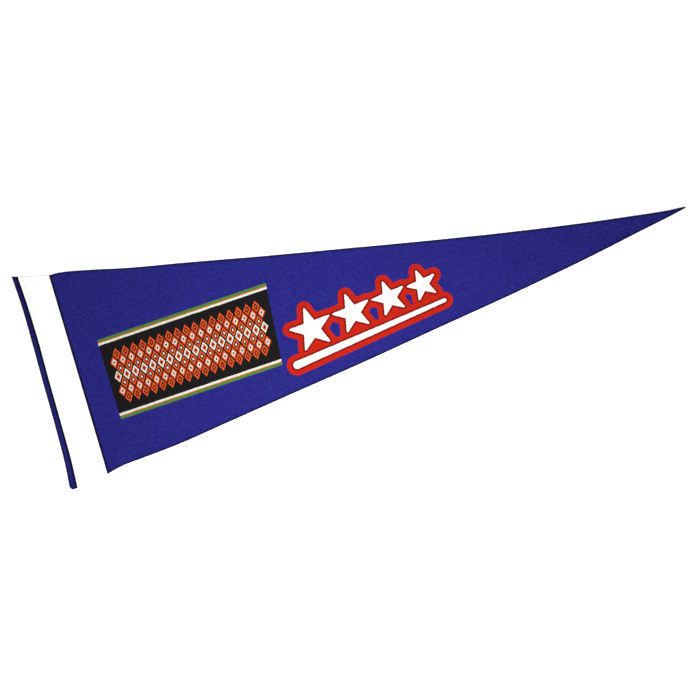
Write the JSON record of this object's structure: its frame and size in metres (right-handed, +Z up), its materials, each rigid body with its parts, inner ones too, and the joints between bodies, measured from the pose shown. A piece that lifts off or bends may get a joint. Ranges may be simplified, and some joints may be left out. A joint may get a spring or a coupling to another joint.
{
  "type": "pennant flag",
  "caption": "Long triangular felt pennant flag lying flat, blue with a white header band across its wide end, the printed face up.",
  "frame": {"origin": "middle of the whole flag's box in plan, on the surface it lies on", "axes": "+X runs along the flag from the header edge to the tip, +Y along the header edge, +Z up out of the printed face"},
  "size_m": [0.7664, 0.254, 0.006],
  "materials": {
    "felt_blue": "matte",
    "felt_white": "matte",
    "print_white": "matte",
    "print_red": "matte",
    "print_orange": "matte",
    "print_charcoal": "matte",
    "print_green": "matte",
    "thread_white": "satin"
  },
  "bodies": {
    "root": {"pennant_body": "felt_blue", "header_band": "felt_white"}
  },
  "joints": []
}
